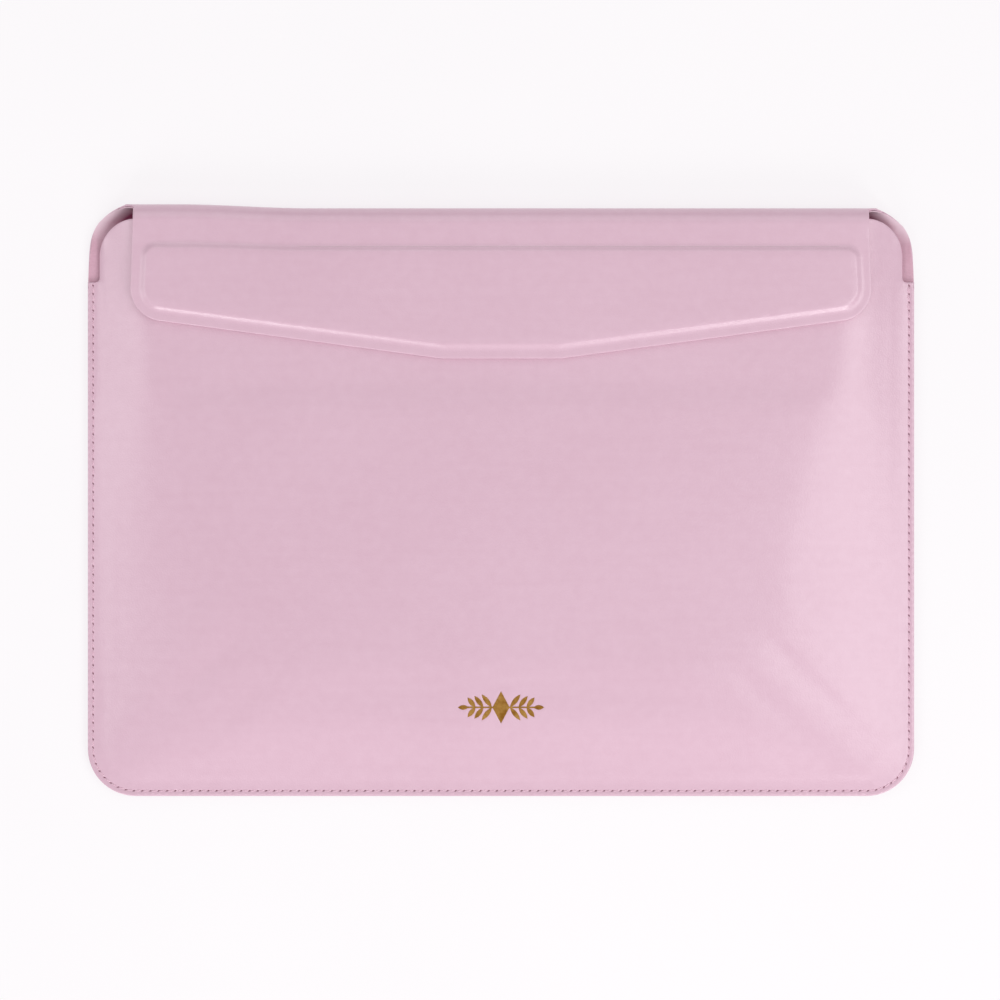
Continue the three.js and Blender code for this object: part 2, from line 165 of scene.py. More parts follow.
def divided(points, step, closed):
    """The same path with its long runs cut into equal pieces no longer than a step."""
    out = []
    last = len(points) if closed else len(points) - 1
    for i in range(last):
        a, b = points[i], points[(i + 1) % len(points)]
        pieces = max(1, math.ceil((b - a).length / step))
        out += [a.lerp(b, k / pieces) for k in range(pieces)]
    if not closed:
        out.append(points[-1])
    return out


def run_gaps(points, a, ab):
    """How far each point is from each straight run, which starts at a and goes by ab."""
    p = np.asarray(points, float)[:, None, :]
    t = ((p - a) * ab).sum(2) / np.maximum((ab * ab).sum(1), 1e-12)
    return np.linalg.norm(p - a - np.clip(t, 0, 1)[..., None] * ab, axis=2)


def nearest(points, path, closed=False):
    """How far each point is from a path, and which way is outwards where it comes nearest."""
    q = np.asarray([tuple(v) for v in path], float)
    if closed:
        q = np.vstack([q, q[:1]])
    a, ab = q[:-1], np.diff(q, axis=0)
    gaps = run_gaps(points, a, ab)
    run = ab / np.maximum(np.linalg.norm(ab, axis=1), 1e-12)[:, None]
    first = gaps.argmin(1)
    outward = np.stack([run[:, 1], -run[:, 0]], 1)[first]
    return gaps[np.arange(len(first)), first], outward


def distance_to(points, path, closed=False):
    return nearest(points, path, closed)[0]


def within(points, path):
    """Which points lie inside a closed path."""
    points = np.asarray(points, float)
    x, y = points[:, 0][:, None], points[:, 1][:, None]
    a = np.array([tuple(p) for p in path])
    b = np.roll(a, -1, axis=0)
    crosses = (a[:, 1] > y) != (b[:, 1] > y)
    rise = np.where(b[:, 1] == a[:, 1], 1e-12, b[:, 1] - a[:, 1])
    at = a[:, 0] + (y - a[:, 1]) * (b[:, 0] - a[:, 0]) / rise
    return (crosses & (x < at)).sum(1) % 2 == 1


def inset_path(path, d, closed=True):
    """A path moved to its left by d: inwards, for one that runs anticlockwise."""
    out = []
    count = len(path)
    for i, p in enumerate(path):
        a = path[i - 1] if closed or i else p
        b = path[(i + 1) % count] if closed or i + 1 < count else p
        one = (p - a).normalized()
        two = (b - p).normalized()
        along = (one + two).normalized()
        cosine = max(0.5, along.dot(one) if one.length else 1)
        out.append(p + Vector((-along.y, along.x)) * d / cosine)
    return out


# ---------- Meshes ----------
def triangles_over(outline, inner_points):
    """2-D points and triangles over the inside of an outline."""
    count = len(outline)
    inner = np.array([tuple(p) for p in inner_points]).reshape(-1, 2)
    inner = inner[within(inner, outline)] if len(inner) else inner
    points = list(outline) + [Vector(p) for p in inner]
    edges = [(i, (i + 1) % count) for i in range(count)]
    out = delaunay_2d_cdt(points, edges, [list(range(count))], 1, 1e-5)
    faces = np.array([tuple(f) for f in out[2]])
    used, compact = np.unique(faces, return_inverse=True)
    flat = np.array([tuple(v) for v in out[0]])[used]
    return flat, [tuple(f) for f in compact.reshape(-1, 3).tolist()]


def add(name, data):
    """A new object in the scene."""
    obj = bpy.data.objects.new(name, data)
    bpy.context.collection.objects.link(obj)
    return obj


def store(obj, key, values):
    """Keeps a value for each point of a mesh, for its material to read."""
    obj.data.attributes.new(key, "FLOAT", "POINT").data.foreach_set("value", values)


def mesh_from(name, points, faces, sharp=50):
    """A smooth-shaded mesh object from points in millimetres."""
    mesh = bpy.data.meshes.new(name)
    mesh.from_pydata((np.asarray(points) * MM).tolist(), [], faces)
    bm = bmesh.new()
    bm.from_mesh(mesh)
    bmesh.ops.recalc_face_normals(bm, faces=bm.faces)
    bm.to_mesh(mesh)
    bm.free()
    mesh.polygons.foreach_set("use_smooth", [True] * len(mesh.polygons))
    mesh.set_sharp_from_angle(angle=math.radians(sharp))
    return add(name, mesh)


def boundary_runs(triangles):
    """The edges that belong to only one of the triangles."""
    uses = {}
    for f in triangles:
        for i in range(3):
            a, b = f[i], f[(i + 1) % 3]
            uses.setdefault((min(a, b), max(a, b)), []).append((a, b))
    return [u[0] for u in uses.values() if len(u) == 1]


def slab(name, flat, faces, outer, inner):
    """A closed solid between two surfaces over the same triangles, walled along the boundary."""
    count = len(flat)
    all_faces = [tuple(f) for f in faces]
    all_faces += [tuple(i + count for i in reversed(f)) for f in faces]
    all_faces += [(b, a, a + count, b + count) for a, b in boundary_runs(faces)]
    return mesh_from(name, np.vstack([outer, inner]), all_faces)


def rounding(d):
    """How far a cut edge's surface falls back at a distance from the edge."""
    t = 1 - np.clip(d, 0, EDGE_R) / EDGE_R
    return EDGE_DROP * (1 - np.sqrt(np.maximum(0, 1 - t * t)))


def grid(x_half, y_from, y_to, step):
    xs = np.arange(-x_half, x_half + step, step)
    ys = np.arange(y_from, y_to, step)
    return np.array([(x + 0.013 * y, y) for y in ys for x in xs])


# ---------- The sheet: back, fold and flap ----------
def bent(x, s, n):
    """Where the sheet's point (x, s) lies at a depth n below its outer face."""
    x, s, n = np.broadcast_arrays(
        np.asarray(x, float), np.asarray(s, float), np.asarray(n, float)
    )
    angle = np.clip(s, 0, FOLD_LENGTH) / MID_R - math.pi / 2
    radius = FOLD_R - n
    y = FOLD_Y + radius * np.cos(angle) + np.minimum(s, 0) - np.maximum(s - FOLD_LENGTH, 0)
    z = FOLD_R + radius * np.sin(angle)
    return np.stack([x, y - sag(x, s), z], -1) + curl(x, s, n, angle)


SAG = 1.6
SAG_FROM = -128
SAG_OVER = 52
SAG_FADE = 32


def sag(x, s):
    """The fold's line is lower from its left end on, where nothing inside holds it out."""
    along = smooth(1 + s / SAG_FADE) * smooth(1 - (s - FOLD_LENGTH) / SAG_FADE)
    return SAG * smooth((x - SAG_FROM) / SAG_OVER) * along


CURL_WIDTH = 5
CURL_ANGLE = math.radians(50)
CURL_FROM_Y = 86
CURL_OVER = 20
CURL_END = 0
CURL_FADE = 12


def curl(x, s, n, angle):
    """The shift that rolls the back's free top corners up round the front's free corners."""
    edge_gap, outward = nearest(np.stack([x, s], -1).reshape(-1, 2), SHEET_EDGE, closed=True)
    u = np.clip(1 - edge_gap.reshape(x.shape) / CURL_WIDTH, 0, 1)
    strength = smooth((s - along_of(CURL_FROM_Y)) / CURL_OVER)
    strength = strength * smooth((CURL_END - s) / CURL_FADE)
    full = np.maximum(CURL_ANGLE * strength, 1e-6)
    turn = full * u
    run = CURL_WIDTH * (np.sin(turn) / full - u) - n * np.sin(turn)
    lift = CURL_WIDTH * (1 - np.cos(turn)) / full - n * (1 - np.cos(turn))
    outward = outward.reshape(x.shape + (2,))
    inward = np.stack([0 * x, -np.cos(angle), -np.sin(angle)], -1)
    along = np.stack([0 * x, -np.sin(angle), np.cos(angle)], -1)
    across = np.stack([outward[..., 0], 0 * x, 0 * x], -1) + outward[..., 1:] * along
    return run[..., None] * across + lift[..., None] * inward


def along_of(y):
    """The sheet's s for a height up the back."""
    return y - FOLD_Y


def flap_along(y):
    """The sheet's s for a height on the closed flap."""
    return FOLD_LENGTH + FOLD_Y - y


TOP_CX = HALF_W - TOP_R
TOP_CY = CROWN_Y + TOP_RISE - TOP_R
NECK_FILLET = math.radians(30)


def half_width(s):
    """Half the sheet's width on its way round the fold: the corner's arc, then a curve to the neck."""
    angle = s / MID_R - math.pi / 2
    y = FOLD_Y + FOLD_R * math.cos(min(angle, 0))
    x = TOP_CX + math.sqrt(TOP_R**2 - (y - TOP_CY) ** 2)
    return x + (NECK - x) * float(smooth(angle / NECK_FILLET))


def back_edge():
    """The back's cut edge, anticlockwise from the left end of the fold to its right end."""
    top = CROWN_Y + TOP_RISE
    foot = [(-HALF_W, FOOT_Y, BOTTOM_R), (HALF_W, FOOT_Y, BOTTOM_R)]
    path = rounded(foot + [(HALF_W, top, TOP_R), (-HALF_W, top, TOP_R)])
    below = [p for p in path if p.y < FOLD_Y - 0.3]
    start = max(range(len(below)), key=lambda i: (below[i].x < 0, below[i].y))
    turned = below[start:] + below[:start]
    ends = [Vector((side * half_width(0), FOLD_Y)) for side in (-1, 1)]
    points = [ends[0]] + turned + [ends[1]]
    return [Vector((p.x, along_of(p.y))) for p in points]


def flap_line(inset, top_y, top_r):
    """A line on the flap, inset from its cut edge, anticlockwise in plan."""
    slope = math.atan2(SHOULDER_Y - TIP_Y, FLAP_HALF - TIP_HALF)
    shoulder = SHOULDER_Y + inset / math.cos(slope) - inset * math.tan(slope)
    tip_half = TIP_HALF - inset * math.tan(slope / 2)
    x = FLAP_HALF - inset
    neck = NECK - inset
    r = FLAP_R - inset
    return [
        (neck, top_y, top_r),
        (-neck, top_y, top_r),
        (-x, shoulder, r),
        (-tip_half, TIP_Y + inset, TIP_R),
        (tip_half, TIP_Y + inset, TIP_R),
        (x, shoulder, r),
    ]


def flap_edge():
    """The flap's cut edge, from the left end of the fold round the tip to the right end."""
    path = rounded(flap_line(0, FOLD_Y, 0))
    left = max(range(len(path)), key=lambda i: (path[i].y > FOLD_Y - 1e-6, -path[i].x))
    turned = path[left:] + path[:left]
    below = [p for p in turned if p.y < FOLD_Y - 0.01]
    points = [Vector((-NECK, FOLD_Y))] + below + [Vector((NECK, FOLD_Y))]
    return [Vector((p.x, flap_along(p.y))) for p in points]


FOLD_ROWS = 16


def fold_rows(part):
    """The rows of points round one third of the fold."""
    return [FOLD_LENGTH * (part + k / FOLD_ROWS) / 3 for k in range(FOLD_ROWS + 1)]


def fold_edge(side):
    rows = sorted({round(s, 6) for part in range(3) for s in fold_rows(part)})
    return [Vector((side * half_width(s), s)) for s in rows]


# All the sheet's cut edges, as one closed path, anticlockwise where x runs right and s runs up.
SHEET_EDGE = back_edge() + fold_edge(1)[1:-1] + flap_edge()[::-1] + fold_edge(-1)[1:-1][::-1]
COLUMN = 4


def row_points(s, half):
    """A row of points across the sheet, the same from both sides of a joint between two pieces."""
    edge = [half - d for d in (0,) + EDGE_LINES]
    count = int((half - 1) / COLUMN)
    middle = [k * (half - 1) / count for k in range(-count, count + 1)]
    xs = sorted({round(v, 5) for v in [-e for e in edge] + edge + middle})
    return [Vector((x, s)) for x in xs]


# The lining has a painted highlight along its cut edge from the fold on, and painted shade inside the
# fold.
RIM_WIDTH = 5.5
RIM_FROM = -9
RIM_OVER = 9
DEEP_FROM = -4
DEEP_OVER = 6


def sheet_piece(name, outline, inner_points, outer_n, inner_n, joints):
    """One piece of the sheet, a layer between two depths that depend on (x, s, edge distance)."""
    flat, faces = triangles_over(outline, inner_points)
    d = distance_to(flat, SHEET_EDGE, closed=True)
    x, s = flat[:, 0], flat[:, 1]
    outer = bent(x, s, outer_n(x, s, d))
    inner = bent(x, s, inner_n(x, s, d))
    obj = slab(name, flat, faces, outer, inner)
    join_smoothly(obj, flat, joints)
    # How much painted highlight, a pale pink, the lining's cut edge gets from the fold on.
    rim = smooth(1 - d / RIM_WIDTH) * smooth((s - RIM_FROM) / RIM_OVER)
    # How much painted shade, a deep maroon, the lining gets inside the fold, away from its cut edge.
    fold_shade = (1 - rim) * smooth((s - DEEP_FROM) / DEEP_OVER) * smooth((FOLD_LENGTH - s) / DEEP_OVER)
    store(obj, "rim", np.concatenate([rim, rim]))
    store(obj, "painted_fold_shade", np.concatenate([fold_shade, fold_shade]))
    return obj, np.concatenate([s, s])


def outer_normals(x, s):
    """The sheet's outward normals, from its slopes across and along."""
    step = 0.05
    across = bent(x + step, s, 0) - bent(x - step, s, 0)
    along = bent(x, s + step, 0) - bent(x, s - step, 0)
    normals = np.cross(along, across)
    return normals / np.linalg.norm(normals, axis=-1)[..., None]


def join_smoothly(obj, flat, joints):
    """Gives the rows where two pieces meet the sheet's own normals, so that no line shows."""
    mesh = obj.data
    normals = np.array([c.vector[:] for c in mesh.corner_normals])
    count = len(flat)
    corner = np.empty(len(mesh.loops), int)
    mesh.loops.foreach_get("vertex_index", corner)
    on_face = np.repeat(
        [p.loop_total == 3 for p in mesh.polygons], [p.loop_total for p in mesh.polygons]
    )
    s = flat[corner % count, 1]
    on_row = np.abs(s[:, None] - np.array(joints)).min(1) < 1e-4
    chosen = on_row & on_face
    found = outer_normals(flat[corner[chosen] % count, 0], s[chosen])
    normals[chosen] = found * np.where(corner[chosen] < count, 1, -1)[:, None]
    mesh.normals_split_custom_set(normals.tolist())


def edge_points(lines, low, high):
    """Lines of points beside the sheet's cut edge, between two heights along it."""
    points = []
    for d in lines:
        path = inset_path(SHEET_EDGE, d)
        points += [p for p in path if low + 0.25 < p.y < high - 0.25]
    return points


def inside_grid(x_half, low, high, step, clear=1.3):
    points = grid(x_half, low + step / 2, high - step / 3, step)
    keep = distance_to(points, SHEET_EDGE, closed=True) > clear
    return [Vector(p) for p in points[keep]]


def leather_out(_x, _s, d):
    return rounding(d)


def leather_in(_x, _s, d):
    return LEATHER - rounding(d)


# ---------- Materials ----------
def linear(red, green, blue):
    """A colour given in 0 to 255, as a picture has it, for a shader."""
    return tuple(
        c / 12.92 if c <= 0.04045 else ((c + 0.055) / 1.055) ** 2.4
        for c in (red / 255, green / 255, blue / 255)
    ) + (1,)


class Look:
    """A procedural material, built node by node."""

    def __init__(self, name):
        self.material = bpy.data.materials.new(name)
        self.material.use_nodes = True
        self.tree = self.material.node_tree
        self.shader = self.tree.nodes["Principled BSDF"]
        self.place = self.tree.nodes.new("ShaderNodeTexCoord").outputs["Object"]

    def node(self, kind, inputs=None, **settings):
        made = self.tree.nodes.new(kind)
        for key, value in settings.items():
            setattr(made, key, value)
        for key, value in (inputs or {}).items():
            self.set(made.inputs[key], value)
        return made

    def set(self, socket, value):
        if isinstance(value, bpy.types.NodeSocket):
            self.tree.links.new(value, socket)
        else:
            socket.default_value = value

    def put(self, **sockets):
        for key, value in sockets.items():
            self.set(self.shader.inputs[key.replace("_", " ")], value)

    def scaled(self, x, y, z):
        """The place on the object, stretched along each axis."""
        return self.node(
            "ShaderNodeMapping", {"Vector": self.place, "Scale": (x, y, z)}
        ).outputs["Vector"]

    def noise(self, scale, detail=3, roughness=0.5, where=None):
        inputs = {"Vector": where or self.place, "Scale": scale}
        inputs |= {"Detail": detail, "Roughness": roughness}
        return self.node("ShaderNodeTexNoise", inputs).outputs["Fac"]

    def cells(self, scale, where=None, feature="F1"):
        return self.node(
            "ShaderNodeTexVoronoi",
            {"Vector": where or self.place, "Scale": scale},
            feature=feature,
        ).outputs["Distance"]

    def ramp(self, value, low, high, to_low=0.0, to_high=1.0):
        inputs = {"Value": value, "From Min": low, "From Max": high}
        inputs |= {"To Min": to_low, "To Max": to_high}
        return self.node("ShaderNodeMapRange", inputs).outputs["Result"]

    def stored(self, key):
        """A value that the mesh holds for each of its points."""
        return self.node("ShaderNodeAttribute", attribute_name=key).outputs["Fac"]

    def gloss(self, specular, sheen, sheen_roughness):
        """The finish that is the same all over, set on the shader's own sockets."""
        self.shader.inputs["Specular IOR Level"].default_value = specular
        self.shader.inputs["Sheen Weight"].default_value = sheen
        self.shader.inputs["Sheen Roughness"].default_value = sheen_roughness

    def mix(self, share, one, two, blend="MIX"):
        made = self.node("ShaderNodeMix", data_type="RGBA", blend_type=blend)
        self.set(made.inputs["Factor"], share)
        colours = [i for i in made.inputs if i.type == "RGBA"]
        self.set(colours[0], one)
        self.set(colours[1], two)
        return next(o for o in made.outputs if o.type == "RGBA")

    def sum(self, one, two, weight):
        return self.node(
            "ShaderNodeMath", {0: two, 1: weight, 2: one}, operation="MULTIPLY_ADD"
        ).outputs[0]

    def bump(self, height, distance, strength=1.0):
        normal = self.node(
            "ShaderNodeBump",
            {"Height": height, "Distance": distance, "Strength": strength},
        ).outputs["Normal"]
        self.put(Normal=normal)


def leather_look(name, light, dark, holes=False):
    """Coated leathercloth: a fine pebbled grain, faint streaks across and a soft, even tone."""
    look = Look(name)
    broad = look.noise(14, 3, 0.5)
    streaks = look.noise(1, 4, 0.6, look.scaled(22, 380, 22))
    fine = look.noise(260, 3)
    tone = look.sum(look.sum(look.sum(0.35, broad, 0.35), streaks, 0.2), fine, 0.35)
    colour = look.mix(look.ramp(tone, 0.5, 1.15), dark, light)
    grain = look.cells(1500)
    pores = look.noise(2600, 2)
    wrinkles = look.ramp(look.cells(190, look.scaled(1, 1.6, 1), "DISTANCE_TO_EDGE"), 0, 0.08)
    height = look.sum(look.sum(look.sum(grain, pores, 0.6), streaks, 0.5), wrinkles, 0.25)
    colour = look.mix(look.ramp(grain, 0.15, 0.7, 0.0, 0.07), colour, dark)
    if holes:
        margin = look.ramp(look.stored("margin"), 0, 1)
        colour = look.mix(margin, colour, MARGIN_TONE, "MULTIPLY")
        # Painted shade in the needle holes: a darker pink.
        colour = look.mix(look.stored("hole"), colour, linear(150, 98, 118))
    look.put(Base_Color=colour, Roughness=look.ramp(tone, 0.5, 1.15, 0.31, 0.27))
    look.gloss(0.85, 0.06, 0.4)
    look.bump(height, 0.00006, 0.5)
    return look.material


def lining_look():
    """The inside: a smooth, soft-napped cloth in a deeper pink than the leathercloth."""
    look = Look("smooth_lining")
    nap = look.noise(900, 4, 0.6, look.scaled(1, 1.5, 1))
    broad = look.noise(24, 3)
    colour = look.mix(look.ramp(nap, 0.3, 0.7), linear(206, 163, 180), linear(215, 173, 190))
    colour = look.mix(look.ramp(broad, 0.35, 0.65, 0, 0.3), colour, linear(203, 159, 177))
    # Painted shade: a deep maroon inside the fold.
    colour = look.mix(look.stored("painted_fold_shade"), colour, linear(150, 62, 98))
    # Painted highlight: a pale pink along the lining's cut edge from the fold on.
    colour = look.mix(look.stored("rim"), colour, linear(240, 210, 223))
    look.put(Base_Color=colour, Roughness=look.ramp(nap, 0.3, 0.7, 0.68, 0.58))
    look.gloss(0.3, 0.06, 0.4)
    look.bump(nap, 0.00006, 0.5)
    return look.material


def thread_look():
    look = Look("waxed_thread")
    twist = look.node(
        "ShaderNodeTexWave",
        {"Vector": look.place, "Scale": 900, "Distortion": 1.5, "Detail": 1},
        bands_direction="DIAGONAL",
    ).outputs["Fac"]
    colour = look.mix(twist, linear(214, 172, 190), linear(238, 202, 218))
    look.put(Base_Color=colour, Roughness=look.ramp(twist, 0, 1, 0.55, 0.4))
    look.bump(twist, 0.00008, 0.7)
    return look.material


def foil_look():
    look = Look("gold_foil")
    crumple = look.noise(1500, 4, 0.6)
    patches = look.noise(420, 3)
    colour = look.mix(look.ramp(patches, 0.3, 0.7), linear(158, 108, 42), linear(204, 156, 84))
    look.put(
        Base_Color=colour,
        Metallic=look.ramp(patches, 0, 1, 0.9, 1.0),
        Roughness=look.ramp(crumple, 0.3, 0.7, 0.3, 0.45),
    )
    look.bump(crumple, 0.00005, 0.6)
    return look.material


def board_look():
    look = Look("fibre_board")
    fibre = look.noise(1, 5, 0.7, look.scaled(260, 1400, 260))
    colour = look.mix(fibre, linear(128, 122, 116), linear(164, 158, 150))
    look.put(Base_Color=colour, Roughness=look.ramp(fibre, 0, 1, 0.95, 0.8))
    look.bump(fibre, 0.00005)
    return look.material


def foam_look():
    look = Look("fine_foam")
    cell = look.cells(1200)
    colour = look.mix(cell, linear(236, 232, 226), linear(206, 200, 192))
    look.put(Base_Color=colour, Roughness=look.ramp(cell, 0, 1, 0.98, 0.85))
    look.bump(cell, 0.0001)
    return look.material


def metal_look(name, light, dark, rough):
    look = Look(name)
    brush = look.noise(1, 4, 0.6, look.scaled(1600, 90, 1600))
    look.put(
        Base_Color=look.mix(brush, dark, light),
        Metallic=look.ramp(brush, 0, 1, 0.95, 1.0),
        Roughness=look.ramp(brush, 0, 1, rough, rough + 0.15),
    )
    look.bump(brush, 0.00002)
    return look.material


MARGIN_TONE = (0.96, 0.95, 0.955, 1)
PINK_LIGHT = linear(226, 191, 208)
PINK_DARK = linear(213, 174, 192)
leather = leather_look("pink_leathercloth", PINK_LIGHT, PINK_DARK)
sewn_leather = leather_look("pink_leathercloth_sewn", PINK_LIGHT, PINK_DARK, holes=True)
lining = lining_look()
thread = thread_look()
foil = foil_look()
board = board_look()
foam = foam_look()
steel = metal_look("keeper_steel", linear(190, 192, 196), linear(150, 152, 158), 0.35)
nickel = metal_look("magnet_nickel", linear(214, 210, 202), linear(178, 172, 164), 0.2)


def finish_piece(obj, look, body=None, replaces=()):
    """Gives a piece its material, its body and the CAD nodes that it stands for."""
    obj.data.materials.append(look)
    if body:
        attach(obj, body)
    if replaces:
        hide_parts(*replaces)
    return obj


# ---------- The sheet's pieces ----------
JOINTS = (0, FOLD_LENGTH / 3, 2 * FOLD_LENGTH / 3, FOLD_LENGTH)
FOLD_NODES = {
    "leather": (("fold_lower_leather",), (), ("fold_upper_leather",)),
    "lining": (("fold_lower_lining",), (), ("fold_upper_lining",)),
}
STEP = 5


def back_outline():
    row = row_points(0, half_width(0))
    return back_edge() + row[1:-1][::-1]


def fold_outline(part):
    rows = fold_rows(part)
    low = row_points(rows[0], half_width(rows[0]))
    high = row_points(rows[-1], half_width(rows[-1]))
    right = [Vector((half_width(s), s)) for s in rows[1:-1]]
    left = [Vector((-half_width(s), s)) for s in rows[1:-1]]
    return low + right + high[::-1] + left[::-1]


def fold_points(part):
    rows = fold_rows(part)[1:-1]
    points = []
    for s in rows:
        points += row_points(s, half_width(s))[1:-1]
    return points


def flap_outline():
    row = row_points(FOLD_LENGTH, NECK)
    return row + flap_edge()[::-1][1:-1]


def fold_strips(kind, look, outer_n, inner_n):
    """The fold in three strips."""
    strips = []
    for part in range(3):
        name = f"fold_{kind}_strip_{part + 1}"
        outline, inner_points = fold_outline(part), fold_points(part)
        strip, s = sheet_piece(name, outline, inner_points, outer_n, inner_n, JOINTS)
        finish_piece(strip, look, replaces=FOLD_NODES[kind][part])
        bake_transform(strip)
        strips.append(strip)
    return strips


def make_back(strips):
    """The back's leather, with the bobbin thread's channel pressed into its underside."""

    def outside(_x, s, d):
        return rounding(d) + channel(d) * sewn_at(s)

    points = edge_points(EDGE_LINES + CHANNEL_LINES, -2 * CROWN_Y, 0)
    points += inside_grid(HALF_W, along_of(FOOT_Y), 0, STEP, 4.2)
    skin, _ = sheet_piece("back_leather", back_outline(), points, outside, leather_in, JOINTS[:1])
    finish_piece(skin, leather, "sleeve_body", ("back_outer_leather",))
    back_outline()


def make_flap():
    """The flap's leather, raised over its board, with a soft slope all round the raised panel."""
    foot = [
        Vector((p.x, flap_along(p.y)))
        for p in rounded(flap_line(PANEL_IN, PANEL_TOP, PANEL_R), 1.6)
    ]
    rings = [inset_path(foot, -BEVEL * u) for u in np.linspace(0, 1, 11)]

    def rise(x, s):
        flat = np.stack([x, s], 1)
        u = np.clip(distance_to(flat, foot, closed=True) / BEVEL, 0, 1)
        return PANEL_RISE * np.where(within(flat, foot), panel_slope(u), 0)

    def outside(x, s, d):
        return rounding(d) - rise(x, s)

    def inside(x, s, d):
        return LEATHER - rounding(d) - rise(x, s)

    points = edge_points(EDGE_LINES + (1.0,), FOLD_LENGTH, FOLD_LENGTH + CROWN_Y)
    for ring in rings:
        points += ring
    free = inside_grid(FLAP_HALF, FOLD_LENGTH, FOLD_LENGTH + CROWN_Y, 3.2, 1.6)
    near = distance_to(free, rings[len(rings) // 2], closed=True)
    points += [p for p, gap in zip(free, near) if gap > BEVEL / 2 + 0.8]
    skin, _ = sheet_piece("flap_leather", flap_outline(), points, outside, inside, JOINTS[3:])
    finish_piece(skin, leather, "flap", ("flap_outer_leather",))
    flap_outline()


def panel_slope(u):
    """The panel's rise across its slope, from 0 to 1: gentle at the foot and steep near the top."""
    return u**3 * (4 - 3 * u)


CHANNEL_LINES = tuple(STITCH_IN + aside for aside in (-0.9, -0.45, 0, 0.45, 0.9))
CHANNEL_DEPTH = 0.22
CHANNEL_HALF = 0.5
SEAM_END_FADE = 2


def channel(d):
    """The shallow groove that the seam pulls into the leather, by distance from the edge."""
    return CHANNEL_DEPTH * np.exp(-(((d - STITCH_IN) / CHANNEL_HALF) ** 2))


def sewn_at(s):
    """1 along the sewn sides, and 0 above the seam's top end."""
    return smooth((along_of(SEAM_TOP_Y) - s) / SEAM_END_FADE)


# ---------- The ornament ----------
FOIL_PRESS = 0.16
FOIL_STEP = 0.45
FOIL_CLEAR = 2.2
FOIL_RIM = 0.4
FOIL_LONG = 1.6
FOIL_FLOAT = 0.04
FOIL_THICK = 0.1


def foil_plan():
    """The foil's faces in plan, from the CAD part: their places and their triangles."""
    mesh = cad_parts["foil_ornament"].data
    mesh.calc_loop_triangles()
    places = np.array([tuple(v.co) for v in mesh.vertices]) / MM
    tops = [t.vertices[:] for t in mesh.loop_triangles if t.normal.z > 0.5]
    return places[:, :2], np.array(tops)


FOIL_PLACES, FOIL_TRIANGLES = foil_plan()


def foil_edges():
    """The foil's outline in plan, as separate runs from a point to a point."""
    keys = [tuple(p) for p in FOIL_PLACES.round(4)]
    return np.array(boundary_runs([[keys[k] for k in triangle] for triangle in FOIL_TRIANGLES]))


FOIL_EDGES = foil_edges()


def foil_gap(flat):
    """How far each point lies from the foil's outline."""
    flat = np.asarray(flat, float)
    low, high = FOIL_EDGES.min((0, 1)) - 3 * FOIL_CLEAR, FOIL_EDGES.max((0, 1)) + 3 * FOIL_CLEAR
    near = ((flat > low) & (flat < high)).all(1)
    gap = np.full(len(flat), 3 * FOIL_CLEAR)
    a, b = FOIL_EDGES[:, 0], FOIL_EDGES[:, 1]
    if near.any():
        gap[near] = run_gaps(flat[near], a, b - a).min(1)
    return gap


def on_foil(flat):
    """Which points lie under the foil."""
    flat = np.asarray(flat, float)
    inside = np.zeros(len(flat), bool)
    for triangle in FOIL_TRIANGLES:
        a, b, c = FOIL_PLACES[triangle]
        turns = [
            (q[0] - p[0]) * (flat[:, 1] - p[1]) - (q[1] - p[1]) * (flat[:, 0] - p[0])
            for p, q in ((a, b), (b, c), (c, a))
        ]
        inside |= (np.minimum.reduce(turns) >= 0) | (np.maximum.reduce(turns) <= 0)
    return inside


def pressed(flat):
    """1 where the foil's stamp presses the leather down, easing to 0 just outside it."""
    gap = foil_gap(flat)
    return np.where(on_foil(flat), 1, 1 - smooth(gap / FOIL_RIM))


def foil_points():
    """A fine grid of points under and round the foil."""
    low, high = FOIL_EDGES.min((0, 1)) - FOIL_CLEAR, FOIL_EDGES.max((0, 1)) + FOIL_CLEAR
    xs = np.arange(low[0], high[0], FOIL_STEP)
    ys = np.arange(low[1], high[1], FOIL_STEP)
    fine = np.array([(x, y) for y in ys for x in xs])
    return [Vector(p) for p in fine[foil_gap(fine) < FOIL_CLEAR - 0.4]]


def make_ornament():
    """The foil itself, which follows the leather in its pressed bed."""
    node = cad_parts["foil_ornament"]
    mesh = node.data.copy()
    mesh.materials.clear()
    mesh.name = "foil_emblem"
    bm = bmesh.new()
    bm.from_mesh(mesh)
    bmesh.ops.remove_doubles(bm, verts=bm.verts, dist=0.00001)
    bmesh.ops.triangulate(bm, faces=bm.faces)
    long = [e for e in bm.edges if e.calc_length() > FOIL_LONG * MM]
    bmesh.ops.subdivide_edges(bm, edges=long, cuts=3)
    bmesh.ops.triangulate(bm, faces=bm.faces)
    places = np.array([tuple(v.co) for v in bm.verts]) / MM
    tops = np.array([v.normal.z > 0 for v in bm.verts])
    tilt, level = np.polyfit(places[tops, 1], places[tops, 2], 1)
    over_top = places[:, 2] - tilt * places[:, 1] - level
    face = leather_z(places[:, :2]) - FOIL_PRESS + FOIL_FLOAT + FOIL_THICK
    for vertex, z in zip(bm.verts, face + over_top):
        vertex.co.z = z * MM
    bm.to_mesh(mesh)
    bm.free()
    finish_piece(add("foil_emblem", mesh), foil, "sleeve_body", ("foil_ornament",))


# ---------- The front ----------
def front_outline_corners():
    right = [
        (HALF_W, SEAM_TOP_Y, 0),
        (FREE_HALF, SEAM_TOP_Y, NOTCH_R),
        (FREE_HALF, MOUTH_Y, FREE_R),
    ]
    left = [(-x, y, r) for x, y, r in reversed(right)]
    return [(-HALF_W, FOOT_Y, BOTTOM_R), (HALF_W, FOOT_Y, BOTTOM_R)] + right + left


